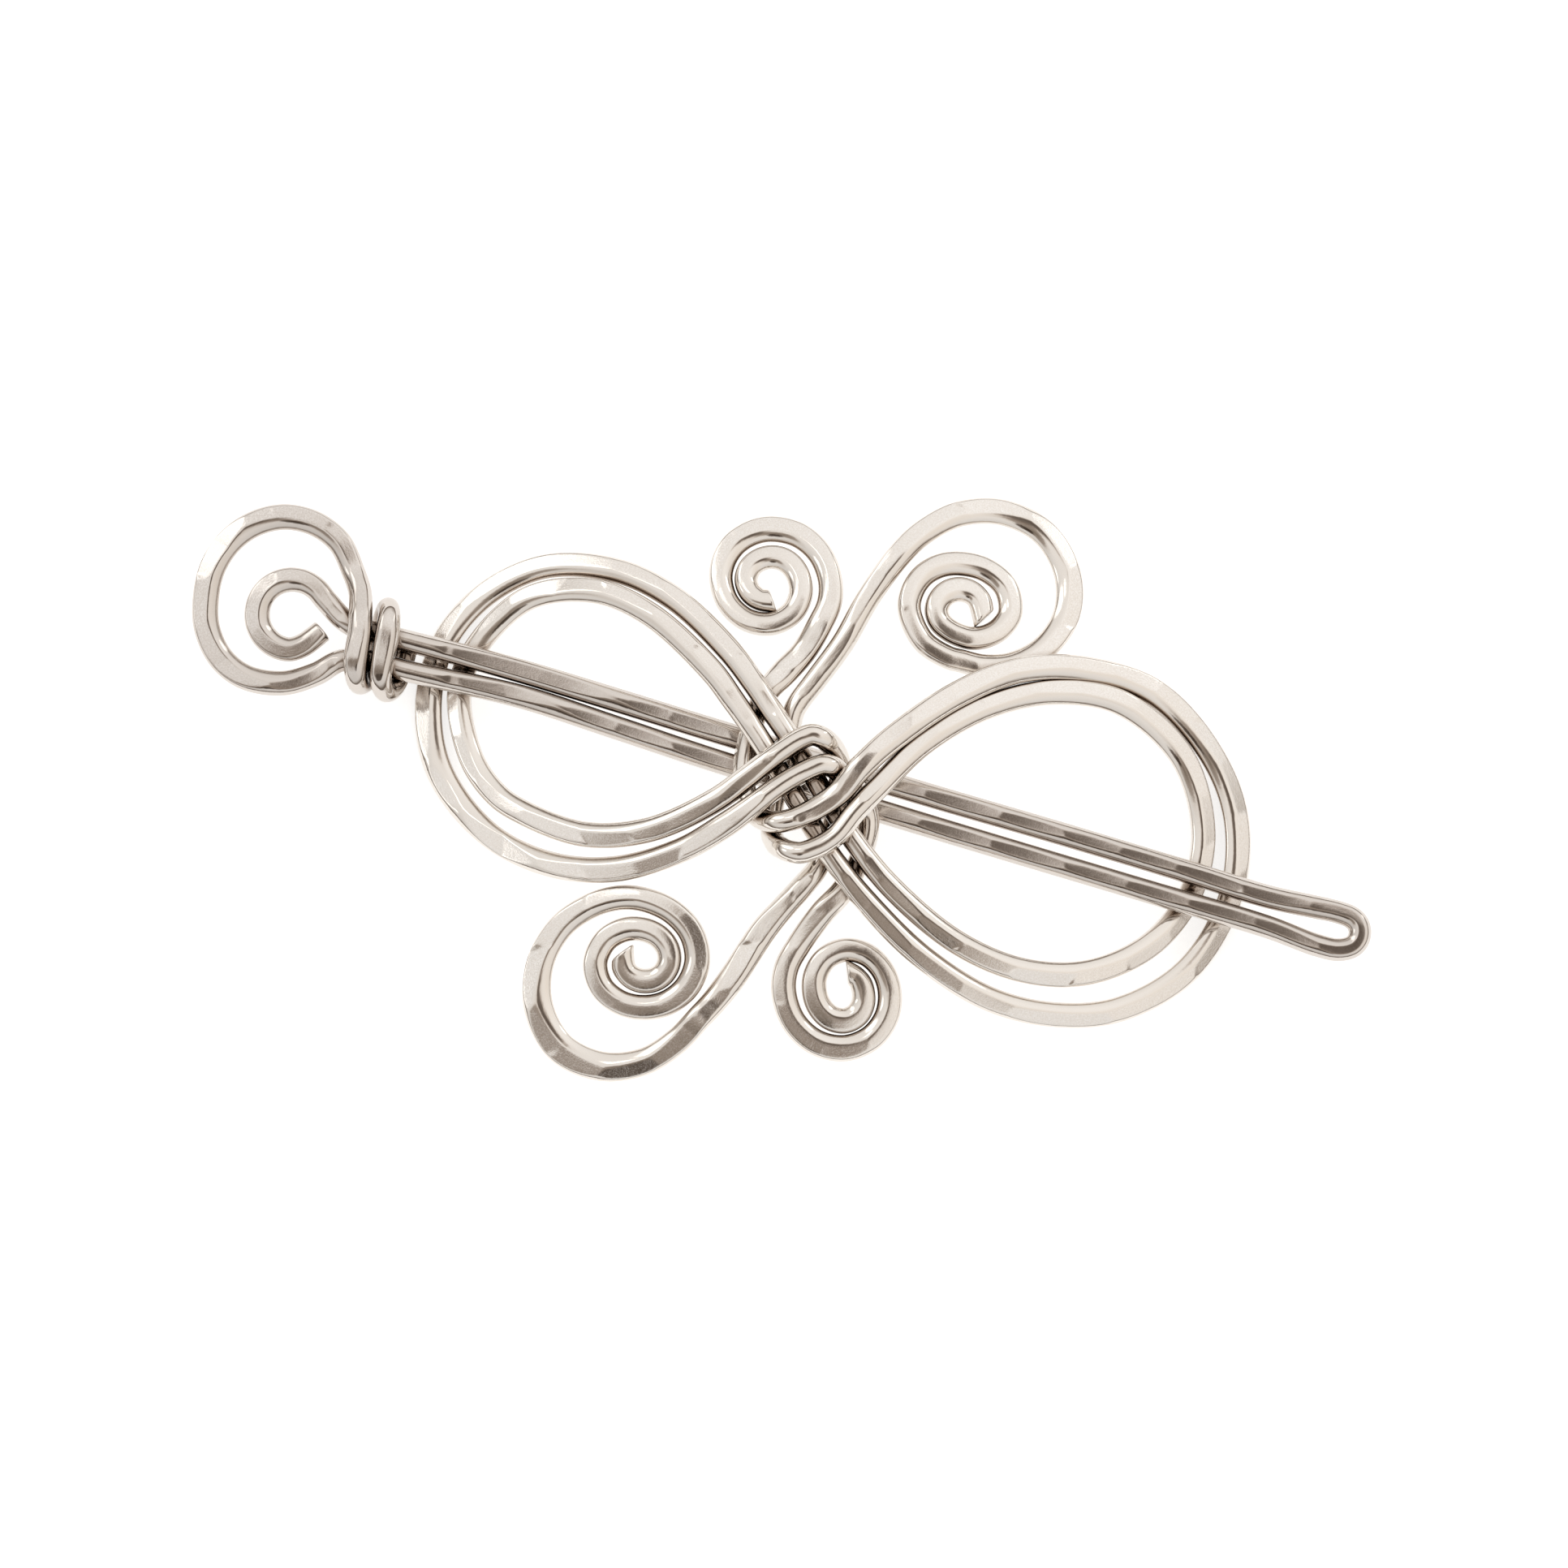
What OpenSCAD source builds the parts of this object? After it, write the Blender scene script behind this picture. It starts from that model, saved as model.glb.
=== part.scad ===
// Scarf pin of hard silvery wire. Two wires make a figure-eight frame with a wrapped knot and four
// scrolls, and a third wire, bent double like a hairpin, is the loose stick that threads through it.
// Units are millimetres. The pin lies on the table at z = 0, with its knot over the origin, the stick's
// head towards -X and the front of the knot facing +Z.

/* [Wire] */
// Diameter of the wire where it is still round
wire_d = 2.06; // [1.6:0.02:2.06]
// Width of the wire where it is hammered fully flat
hammered_w = 2.5; // [2.1:0.05:2.5]

/* [Layers] */
// Height of the stick's axis above the table
stick_z = 4.25; // [4.2:0.05:4.3]
// Height from the stick's axis to the wires behind the knot, and on to each next layer
layer = 2.2; // [2.2:0.02:2.3]
// Height from the stick's axis to the coil's wire in front of and behind the shanks
coil_z = 2.22; // [2.2:0.01:2.3]

/* [Mesh] */
// Turn of the wire between two rings of the mesh, in degrees
ring_turn = 10; // [8:1:20]
// Longest stretch of wire between two rings of the mesh
ring_gap = 4; // [2:0.5:6]

/* [Hidden] */

// Layers of the knot, from the stick upwards
back_z = stick_z + layer;
middle_z = back_z + layer;
front_z = middle_z + layer;

// How fast the faces of the arched frame turn outwards, per millimetre from the knot
bow_x = 0.011;
bow_y = 0.008;
// How the two loops lean against each other, per millimetre along the frame
lean_x = -0.0035;

// Quarter outlines of the wire, from its side to its top, as shares of half the width and thickness
// [across, up]
round_quarter = [[1.02, 0], [0.825, 0.6], [0.315, 0.97]];
flat_quarter = [[1, 0], [0.94, 0.62], [0.76, 1]];
// Share of its thickness that a flat wire gives up because its outline is fuller than a round one
flat_loss = 0.13;

// Fine step along the smooth centre line
fine_step = 0.4;
// Degrees between two way-points of a scroll
scroll_step = 30;
// How strongly the face is drawn to its wanted direction at each ring, on round wire, and how much
// more on flat wire
round_pull = 0.15;
flat_pull = 0.85;
// Length of the worn-down end of a cut wire, and its size as a share of the wire's
tip_length = 0.25;
tip_share = 0.7;

// Scrolls: the centre [x, y, z], the slope of its plane [along x, along y], and a row for each
// section of the scroll from its cut end outwards: [angle, radius, hammering]
scroll_bl_centre = [-15.1, -15.3, 5.4];
scroll_bl_slope = [0.13, 0.11];
scroll_bl = [
    [165, 2.0, 0.1],
    [270, 1.75, 0.6],
    [360, 2.4, 0.5],
    [450, 3.0, 0.5],
    [540, 4.5, 0.6],
    [630, 4.2, 0.7],
    [720, 5.0, 0.9],
    [810, 5.8, 0.6],
    [855, 7.3, 0.7],
    [900, 9.65, 1.3],
    [945, 11.0, 2.0],
    [990, 9.2, 1.2],
    [1012, 8.0, 1.0],
    [1035, 7.35, 0.8],
];
scroll_tr_centre = [14.45, 17.65, 5.9];
scroll_tr_slope = [-0.18, -0.15];
scroll_tr = [
    [0, 2.05, 0.3],
    [90, 2.1, 0.7],
    [180, 2.25, 0.5],
    [270, 2.35, 0.4],
    [315, 3.35, 0.4],
    [360, 4.65, 0.6],
    [450, 4.6, 0.6],
    [495, 4.85, 0.5],
    [540, 4.8, 0.4],
    [580, 4.6, 0.4],
    [615, 4.65, 0.4],
    [630, 4.8, 0.4],
    [675, 6.95, 0.5],
    [720, 9.95, 1.2],
    [765, 11.1, 1.2],
    [810, 9.45, 0.9],
    [833, 8.35, 0.8],
    [855, 7.8, 0.7],
];
scroll_tl_centre = [-3.2, 20.75, 5.1];
scroll_tl_slope = [0.05, -0.18];
scroll_tl = [
    [-105, 2.15, 0.2],
    [-180, 2.4, 0.3],
    [-270, 2.2, 0.5],
    [-360, 2.6, 0.5],
    [-450, 4.25, 0.5],
    [-540, 4.75, 0.4],
    [-585, 4.95, 0.9],
    [-630, 4.95, 1.0],
    [-720, 5.45, 0.6],
    [-765, 6.3, 0.8],
];
scroll_br_centre = [3.6, -18.1, 4.9];
scroll_br_slope = [-0.05, 0.1];
scroll_br = [
    [60, 1.85, 0.1],
    [0, 1.75, 0.3],
    [-90, 2.6, 0.8],
    [-180, 2.8, 0.7],
    [-270, 3.95, 0.4],
    [-360, 4.2, 0.5],
    [-450, 5.15, 1.0],
    [-540, 5.65, 0.7],
    [-585, 6.1, 0.6],
];

// Ways of the two frame wires, a row for each section: [x, y, z, hammering]
stem_bl = [
    [-8.5, -18.95, 5.4, 0.9],
    [-6.9, -16.9, 5.7, 1.2],
    [-3.95, -12.45, 6.1, 1.0],
    [-2.15, -10.35, 6.3, 0.5],
    [-0.25, -8.25, back_z - 0.05, 0.3],
];
stem_tr = [
    [5.9, 19.0, 6.0, 0.5],
    [3.45, 14.6, 6.3, 0.3],
    [0.75, 10.85, back_z - 0.05, 0.2],
    [-0.65, 9.0, back_z, 0.1],
];
stem_tl = [
    [-3.4, 10.25, back_z - 0.2, 0.6],
    [-2.1, 11.75, back_z - 0.35, 1.2],
    [-0.2, 13.85, 5.85, 0.8],
];
stem_br = [
    [1.5, -10.8, 6.2, 0.7],
];
// Back of the knot and round its upper right end to the front
outer_turn_a = [
    [1.0, -6.7, back_z, 0],
    [1.9, -4.5, back_z, 0],
    [2.5, -2.3, back_z, 0],
    [2.9, 0, back_z, 0],
    [3.1, 1.4, back_z + 0.1, 0],
    [3.2, 2.5, back_z + 0.5, 0],
    [3.1, 3.25, back_z + 1.2, 0],
    [2.8, 3.9, middle_z + 0.05, 0],
    [2.4, 4.4, middle_z + 0.95, 0],
    [1.95, 4.75, front_z - 0.55, 0],
    [1.45, 5.05, front_z - 0.15, 0],
    [0.6, 5.25, front_z, 0],
    [-0.45, 4.9, front_z, 0],
];
// Back of the knot and round its lower left end to the front
outer_turn_b = [
    [-1.2, 7.9, back_z, 0],
    [-1.5, 6.6, back_z, 0],
    [-2.0, 4.5, back_z, 0],
    [-2.55, 2.0, back_z, 0],
    [-3.0, -0.6, back_z + 0.05, 0],
    [-3.2, -2.1, back_z + 0.2, 0],
    [-3.2, -3.0, back_z + 0.6, 0],
    [-3.15, -3.7, back_z + 1.2, 0],
    [-2.95, -4.3, middle_z - 0.2, 0],
    [-2.65, -4.85, middle_z + 0.5, 0],
    [-2.2, -5.2, middle_z + 1.2, 0],
    [-1.75, -5.5, front_z - 0.5, 0],
    [-1.1, -5.7, front_z - 0.15, 0],
    [-0.4, -5.75, front_z, 0],
    [1.1, -5.25, front_z, 0],
];
// From the front of the knot down its lower left end to the arc behind, and on to a tail
inner_turn_a = [
    [0.6, -1.85, front_z + 0.05, 0],
    [-1.1, -2.6, front_z, 0],
    [-2.5, -2.85, front_z - 0.35, 0],
    [-3.6, -2.6, middle_z + 0.95, 0],
    [-4.5, -2.05, middle_z + 0.05, 0],
    [-5.1, -1.1, middle_z - 0.85, 0],
    [-5.55, 0.1, back_z + 0.75, 0],
    [-5.75, 1.6, back_z + 0.2, 0],
    [-5.75, 3.3, back_z, 0],
    [-5.2, 6.0, back_z - 0.05, 0],
    [-4.4, 8.5, back_z - 0.15, 0.2],
];
// From the front of the knot down its upper right end to the arc behind, and on to a tail
inner_turn_b = [
    [-0.45, 1.65, front_z + 0.05, 0],
    [1.5, 2.45, front_z, 0],
    [2.4, 2.35, front_z - 0.3, 0],
    [3.1, 1.9, middle_z + 0.95, 0],
    [3.85, 1.25, middle_z + 0.25, 0],
    [4.6, 0.6, middle_z - 0.45, 0],
    [5.3, -0.4, back_z + 0.85, 0],
    [5.75, -1.7, back_z + 0.15, 0],
    [5.75, -3.3, back_z, 0],
    [4.8, -6.3, back_z, 0],
    [3.4, -8.75, back_z - 0.05, 0.5],
];
// Through the knot, between its front and its back, from the left loop to the right one
diagonal_a = [
    [-5.65, 7.25, 8.55, 0.2],
    [-3.95, 4.65, middle_z, 0],
    [2.35, -5.8, middle_z, 0],
];
// The same from the right loop to the left one
diagonal_b = [
    [4.3, -4.15, middle_z, 0],
    [-1.85, 5.85, middle_z, 0],
];
// Inner strand of the left loop, from the front of the knot round to the diagonal
left_inner = [
    [-2.8, 3.35, front_z + 0.1, 0.1],
    [-5.6, 1.2, front_z - 0.2, 0.4],
    [-8.5, -0.8, 9.9, 0.6],
    [-14.6, -3.3, 8.4, 0.7],
    [-20.7, -3.45, 6.6, 0.8],
    [-26.7, -0.95, 4.4, 0.7],
    [-29.05, 0.85, 3.45, 0.7],
    [-31.35, 4.4, 2.5, 0.7],
    [-32.45, 10.7, 2.0, 0.7],
    [-30.8, 14.9, 2.2, 0.8],
    [-26.0, 19.15, 3.9, 0.7],
    [-19.8, 19.55, 5.9, 0.7],
    [-14.6, 17.15, 7.3, 0.6],
    [-8.8, 11.65, 8.2, 0.6],
    [-6.85, 9.0, 8.4, 0.4],
];
// Outer strand of the right loop, from the diagonal round to the front of the knot
right_outer = [
    [5.75, -10.15, 8.3, 0.4],
    [11.1, -15.3, 7.4, 0.6],
    [17.2, -18.9, 6.0, 0.7],
    [23.3, -20.15, 4.7, 0.7],
    [29.25, -19.45, 3.3, 0.8],
    [35.55, -15.65, 1.9, 0.9],
    [39.6, -8.85, 1.15, 0.9],
    [40.3, -1.7, 1.12, 1.1],
    [38.2, 4.35, 1.55, 0.9],
    [33.0, 10.2, 3.3, 1.0],
    [26.3, 12.15, 5.7, 0.9],
    [20.1, 11.85, 7.6, 0.9],
    [14.0, 9.35, 9.4, 1.0],
    [8.15, 5.0, 10.9, 0.9],
    [5.1, 2.15, front_z + 0.6, 0.3],
    [2.95, -0.3, front_z + 0.2, 0],
];
// Inner strand of the right loop, from the front of the knot round to the diagonal
right_inner = [
    [2.8, -4.15, front_z + 0.05, 0],
    [4.5, -2.05, front_z + 0.05, 0],
    [6.45, 0.1, front_z - 0.1, 0.3],
    [11.15, 4.5, 9.5, 0.5],
    [17.2, 8.2, 7.9, 0.5],
    [23.3, 9.8, 6.3, 0.6],
    [29.35, 8.85, 4.9, 0.6],
    [35.1, 4.15, 2.7, 0.7],
    [37.15, -2.6, 1.85, 0.7],
    [36.0, -8.25, 1.7, 0.7],
    [32.3, -13.2, 2.8, 0.8],
    [26.3, -16.2, 4.9, 0.8],
    [20.2, -16.2, 6.4, 0.7],
    [14.15, -13.8, 7.6, 0.6],
    [8.05, -8.8, 8.4, 0.4],
];
// Outer strand of the left loop, from the diagonal round to the front of the knot
left_outer = [
    [-3.25, 8.0, 8.5, 0.2],
    [-4.85, 10.5, 8.35, 0.4],
    [-7.25, 13.75, 7.85, 0.6],
    [-12.35, 18.75, 6.7, 0.7],
    [-17.8, 21.6, 5.3, 0.7],
    [-24.6, 22.25, 3.2, 0.8],
    [-30.3, 19.7, 1.7, 1.1],
    [-34.1, 15.1, 1.1, 1.2],
    [-35.4, 9.35, 1.05, 1.5],
    [-34.3, 3.2, 1.25, 1.3],
    [-29.7, -2.9, 2.8, 0.8],
    [-23.7, -6.1, 5.0, 0.8],
    [-17.65, -6.75, 6.9, 0.9],
    [-11.6, -5.25, 8.7, 0.7],
    [-7.7, -3.25, 10.25, 0.8],
    [-5.0, -1.45, front_z + 0.1, 0.3],
    [-2.8, 0.2, front_z + 0.2, 0],
];

// Stick: the curl and the ring of its head, in the same form as the scrolls
curl_centre = [-48.3, 17.6, stick_z];
curl = [
    [-28, 3.4, 0.2],
    [-45, 3.15, 0.3],
    [-90, 3.3, 0.5],
    [-135, 3.15, 0.8],
    [-180, 3.05, 0.8],
    [-225, 3.15, 0.7],
    [-270, 3.3, 0.6],
    [-315, 3.45, 0.4],
];
ring_centre = [-48.9, 19.25, stick_z];
ring = [
    [-67, 7.9, 0.4],
    [-90, 8.15, 0.6],
    [-115, 8.35, 0.8],
    [-135, 8.2, 0.9],
    [-180, 7.25, 1.0],
    [-225, 7.3, 1.0],
    [-270, 7.6, 0.9],
    [-315, 7.35, 0.6],
    [-340, 6.95, 0.4],
];
// Upper shank from the curl to the tip, the bend of the tip, and the lower shank back to the ring:
// [x, y, z, hammering]
shanks = [
    [-44.9, 18.9, stick_z, 0.3],
    [-42.85, 16.8, stick_z, 0.1],
    [-40.8, 16.0, stick_z, 0],
    [-37.3, 15.1, stick_z, 0],
    [-26.7, 12.25, stick_z, 0.2],
    [-17.7, 9.5, stick_z, 0.4],
    [-8.6, 6.65, stick_z, 0.4],
    [11.1, 0.65, stick_z, 0.2],
    [24.0, -3.15, stick_z, 0],
    [35.0, -6.5, stick_z, 0],
    [43.0, -9.0, stick_z, 0.2],
    [47.5, -10.0, stick_z, 0.3],
    [49.5, -10.45, stick_z, 0.2],
    [50.8, -10.95, stick_z, 0.2],
    [51.4, -11.55, stick_z, 0.2],
    [51.6, -12.35, stick_z, 0.2],
    [51.4, -13.15, stick_z, 0.2],
    [50.8, -13.75, stick_z, 0.2],
    [49.5, -14.0, stick_z, 0.2],
    [47.5, -13.55, stick_z, 0],
    [43.0, -11.85, stick_z, 0],
    [32.3, -8.65, stick_z, 0],
    [11.1, -2.25, stick_z, 0],
    [-8.6, 3.85, stick_z, 0],
    [-17.7, 6.9, stick_z, 0],
    [-26.7, 9.85, stick_z, 0],
    [-37.3, 12.25, stick_z, 0],
    [-41.1, 13.25, stick_z, 0],
    [-43.6, 13.2, stick_z, 0.1],
];
// Two turns of the coil round both shanks, from the ring's end to the tail tucked behind
coil = [
    [-41.75, 19.8, stick_z + 0.5, 0.2],
    [-41.6, 18.3, stick_z + 1.5, 0.3],
    [-41.6, 17.0, stick_z + 2.1, 0.4],
    [-41.65, 15.4, stick_z + coil_z, 0.5],
    [-42.0, 12.9, stick_z + coil_z, 0.5],
    [-41.95, 11.45, stick_z + 1.3, 0.1],
    [-41.7, 11.05, stick_z, 0],
    [-41.2, 11.7, stick_z - 1.6, 0],
    [-40.7, 13.4, stick_z - coil_z, 0],
    [-40.2, 15.6, stick_z - coil_z, 0],
    [-39.6, 17.5, stick_z - 1.7, 0],
    [-39.1, 18.2, stick_z, 0],
    [-38.9, 17.4, stick_z + 1.5, 0.1],
    [-39.0, 15.9, stick_z + coil_z, 0.5],
    [-39.4, 13.4, stick_z + coil_z, 0.5],
    [-39.7, 11.3, stick_z + 1.6, 0.1],
    [-39.3, 10.35, stick_z, 0],
    [-38.6, 11.0, stick_z - 1.6, 0],
    [-38.0, 12.5, stick_z - coil_z, 0],
    [-37.5, 14.4, stick_z - coil_z, 0],
];

// Small helpers on lists and vectors
function last(list) = list[len(list) - 1];
function head(v) = [v[0], v[1], v[2]];
function unit(v) = v / norm(v);
function reversed(list) = [for (i = [len(list) - 1:-1:0]) list[i]];

// Value at t between b and c on a smooth curve through a, b, c and d, whose knots lie at the four times
function smooth_value(a, b, c, d, ta, tb, tc, td, t) =
    let (
        m1 = ((b - a) * (tc - tb) / (tb - ta) + (c - b) * (tb - ta) / (tc - tb)) / (tc - ta),
        m2 = ((c - b) * (td - tc) / (tc - tb) + (d - c) * (tc - tb) / (td - tc)) / (td - tb),
        w = tc - tb,
        s = (t - tb) / w
    )
    b * (1 + 2 * s) * pow(1 - s, 2) + m1 * w * s * pow(1 - s, 2)
    + c * s * s * (3 - 2 * s) - m2 * w * s * s * (1 - s);

// Row of a table before its first and after its last, so that the curve runs through both
function before(rows) = 2 * rows[0] - rows[1];
function after(rows) = 2 * last(rows) - rows[len(rows) - 2];
function row_at(rows, i) = i < 0 ? before(rows) : i >= len(rows) ? after(rows) : rows[i];

// Row of a scroll's table at any angle
function scroll_row(rows, i, angle) =
    smooth_value(
        row_at(rows, i - 1), rows[i], rows[i + 1], row_at(rows, i + 2),
        row_at(rows, i - 1)[0], rows[i][0], rows[i + 1][0], row_at(rows, i + 2)[0], angle
    );

// Way-points of a scroll on its sloping plane: [x, y, z, hammering, face's x, face's y]
function scroll_points(centre, slope, rows) = [
    for (i = [0:len(rows) - 2])
        let (
            steps = max(1, round(abs(rows[i + 1][0] - rows[i][0]) / scroll_step)),
            extra = i == len(rows) - 2 ? 1 : 0
        )
        for (k = [0:steps - 1 + extra])
            let (
                r = scroll_row(rows, i, rows[i][0] + (rows[i + 1][0] - rows[i][0]) * k / steps),
                dx = r[1] * cos(r[0]),
                dy = r[1] * sin(r[0])
            )
            [centre[0] + dx, centre[1] + dy, centre[2] + slope[0] * dx + slope[1] * dy, r[2],
             -slope[0], -slope[1]]
];

// Way-points of a table on the arched frame, and of one on the level stick
function arched(rows) = [
    for (r = rows) [r[0], r[1], r[2], r[3], bow_x * r[0], bow_y * r[1] + lean_x * r[0]]
];
function level(rows) = [for (r = rows) [r[0], r[1], r[2], r[3], 0, 0]];

// Fine smooth line through way-points
function pace(a, b) = sqrt(norm(head(b) - head(a)));
function smooth_line(points) = [
    for (i = [0:len(points) - 2])
        let (
            a = row_at(points, i - 1),
            b = points[i],
            c = points[i + 1],
            d = row_at(points, i + 2),
            ta = -pace(a, b),
            tc = pace(b, c),
            td = tc + pace(c, d),
            steps = ceil(norm(head(c) - head(b)) / fine_step),
            extra = i == len(points) - 2 ? 1 : 0
        )
        for (k = [0:steps - 1 + extra]) smooth_value(a, b, c, d, ta, 0, tc, td, tc * k / steps)
];

// Direction of a fine line at one of its points
function heading(line, i) =
    unit(head(line[min(i + 1, len(line) - 1)]) - head(line[max(i - 1, 0)]));
function turn_between(a, b) = acos(max(-1, min(1, a * b)));

// Numbers of the points where the mesh has a ring: where the wire has turned or run far enough
function ring_numbers(line) = [
    for (
        i = 0, kept = true, ring_i = 0;
        i < len(line);
        i = i + 1,
        kept = i >= len(line) - 1
            || turn_between(heading(line, ring_i), heading(line, min(i, len(line) - 1))) >= ring_turn
            || norm(head(line[min(i, len(line) - 1)]) - head(line[ring_i])) >= ring_gap,
        ring_i = kept ? i : ring_i
    )
    if (kept) i
];

// Wanted direction of the wire's face at a point, square to the wire
function wanted_face(point, along) =
    let (face = [point[4], point[5], 1]) face - (face * along) * along;

// Rings of the mesh: [centre, across, up, hammering]. The face is carried along the wire and drawn
// gently to the wanted direction, so that it never flips where the wire turns over.
function ring_frames(line, numbers) =
    let (first_along = heading(line, numbers[0]))
    [
        for (
            n = 0,
            along = first_along,
            up = unit(wanted_face(line[numbers[0]], first_along));
            n < len(numbers);
            n = n + 1,
            along = heading(line, numbers[min(n, len(numbers) - 1)]),
            up = carried_up(up, along, line[numbers[min(n, len(numbers) - 1)]])
        )
        [head(line[numbers[n]]), cross(along, up), up, max(0, line[numbers[n]][3]), along]
    ];
function carried_up(up, along, point) =
    let (
        carried = unit(up - (up * along) * along),
        wanted = wanted_face(point, along),
        pull = round_pull + flat_pull * max(0, point[3])
    )
    unit(carried + pull * (wanted * carried < 0 ? -wanted : wanted));

// Outline of the wire, as [across, up] points, for a hammering from 0, round, over 1, flat, to 2,
// flat and spread twice as far. What the wire gains in width it loses in thickness.
function outline(hammering) =
    let (
        flatness = min(hammering, 1),
        width = wire_d + (hammered_w - wire_d) * hammering,
        thickness = wire_d * wire_d / width * (1 - flat_loss * flatness),
        w = width / 2,
        t = thickness / 2,
        quarter = round_quarter + (flat_quarter - round_quarter) * flatness
    )
    [
        [w * quarter[0][0], 0],
        [w * quarter[1][0], t * quarter[1][1]],
        [w * quarter[2][0], t * quarter[2][1]],
        [-w * quarter[2][0], t * quarter[2][1]],
        [-w * quarter[1][0], t * quarter[1][1]],
        [-w * quarter[0][0], 0],
        [-w * quarter[1][0], -t * quarter[1][1]],
        [-w * quarter[2][0], -t * quarter[2][1]],
        [w * quarter[2][0], -t * quarter[2][1]],
        [w * quarter[1][0], -t * quarter[1][1]],
    ];
wire_sides = len(outline(0));

function ring_points(frame, share = 1, shift = 0) = [
    for (p = outline(frame[3]))
        frame[0] + shift * frame[4] + share * (p[0] * frame[1] + p[1] * frame[2])
];

// Rings of points of one bent wire along its way, with each cut end slightly worn
function wire_rings(way) =
    let (
        line = smooth_line(way),
        frames = ring_frames(line, ring_numbers(line))
    )
    concat(
        [ring_points(frames[0], tip_share, -tip_length)],
        [for (f = frames) ring_points(f)],
        [ring_points(last(frames), tip_share, tip_length)]
    );

// One bent wire as a closed solid
module wire(rings) {
    last_ring = (len(rings) - 1) * wire_sides;
    polyhedron(
        points = [for (r = rings) for (p = r) p],
        faces = concat(
            [[for (j = [wire_sides - 1:-1:0]) j]],
            [
                for (i = [0:len(rings) - 2])
                    for (j = [0:wire_sides - 1])
                        let (
                            a = i * wire_sides + j,
                            b = i * wire_sides + (j + 1) % wire_sides,
                            c = a + wire_sides,
                            d = b + wire_sides
                        )
                        each [[a, b, c], [b, d, c]]
            ],
            [[for (j = [0:wire_sides - 1]) last_ring + j]]
        ),
        convexity = 10
    );
}

way_a = concat(
    scroll_points(scroll_bl_centre, scroll_bl_slope, scroll_bl),
    arched(stem_bl),
    arched(outer_turn_a),
    arched(left_inner),
    arched(diagonal_a),
    arched(right_outer),
    arched(inner_turn_a),
    arched(stem_tl),
    reversed(scroll_points(scroll_tl_centre, scroll_tl_slope, scroll_tl))
);
way_b = concat(
    scroll_points(scroll_tr_centre, scroll_tr_slope, scroll_tr),
    arched(stem_tr),
    arched(outer_turn_b),
    arched(right_inner),
    arched(diagonal_b),
    arched(left_outer),
    arched(inner_turn_b),
    arched(stem_br),
    reversed(scroll_points(scroll_br_centre, scroll_br_slope, scroll_br))
);
way_stick = concat(
    scroll_points(curl_centre, [0, 0], curl),
    level(shanks),
    scroll_points(ring_centre, [0, 0], ring),
    level(coil)
);

rings_a = wire_rings(way_a);
rings_b = wire_rings(way_b);
// Lowest point of the frame, which is set down on the table
lowest = min([for (rings = [rings_a, rings_b]) for (r = rings) for (p = r) p[2]]);

// First wire of the frame, from the large scroll at the bottom left to the small one at the top left
module frame_wire_a() {
    color("silver") translate([0, 0, -lowest]) wire(rings_a);
}

// Second wire of the frame, from the large scroll at the top right to the small one at the bottom right
module frame_wire_b() {
    color("gainsboro") translate([0, 0, -lowest]) wire(rings_b);
}

// Stick: curl, upper shank, bent tip, lower shank, head ring and coil, all one wire
module stick_wire() {
    color("darkgray") translate([0, 0, -lowest]) wire(wire_rings(way_stick));
}

frame_wire_a();
frame_wire_b();
stick_wire();
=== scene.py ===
import math
import random

import bpy
import numpy as np
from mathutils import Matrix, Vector


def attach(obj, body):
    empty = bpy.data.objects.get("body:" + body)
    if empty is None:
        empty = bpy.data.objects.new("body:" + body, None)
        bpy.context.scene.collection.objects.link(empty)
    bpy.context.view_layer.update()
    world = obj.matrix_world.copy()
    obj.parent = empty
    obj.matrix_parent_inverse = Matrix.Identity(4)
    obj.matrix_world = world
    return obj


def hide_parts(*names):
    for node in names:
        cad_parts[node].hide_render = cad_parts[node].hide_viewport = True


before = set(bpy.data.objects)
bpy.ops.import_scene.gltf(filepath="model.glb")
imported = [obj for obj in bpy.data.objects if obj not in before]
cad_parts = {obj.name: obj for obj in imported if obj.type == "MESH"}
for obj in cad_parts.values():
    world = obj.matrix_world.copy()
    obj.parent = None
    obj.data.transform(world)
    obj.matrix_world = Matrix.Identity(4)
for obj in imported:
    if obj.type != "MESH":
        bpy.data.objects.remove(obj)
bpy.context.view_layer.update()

# Sizes are millimetres and angles degrees, as in the part's own source, unless a comment says otherwise
MM = 0.001

# Wire: diameter, width where it is fully hammered, and the share of its thickness that this takes off
WIRE_D = 2.06
HAMMERED_W = 2.5
FLAT_LOSS = 0.13
# Heights: middle of the stick, step between the layers of the knot, how far over and under the stick its
# coil passes, and the knot's back, middle and front
STICK_Z = 4.25
LAYER = 2.2
COIL_Z = 2.22
BACK_Z = STICK_Z + LAYER
MIDDLE_Z = BACK_Z + LAYER
FRONT_Z = MIDDLE_Z + LAYER

# How the faces of the arched frame turn outwards, for each millimetre from the knot
BOW_X = 0.011
BOW_Y = 0.008
LEAN_X = -0.0035

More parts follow.
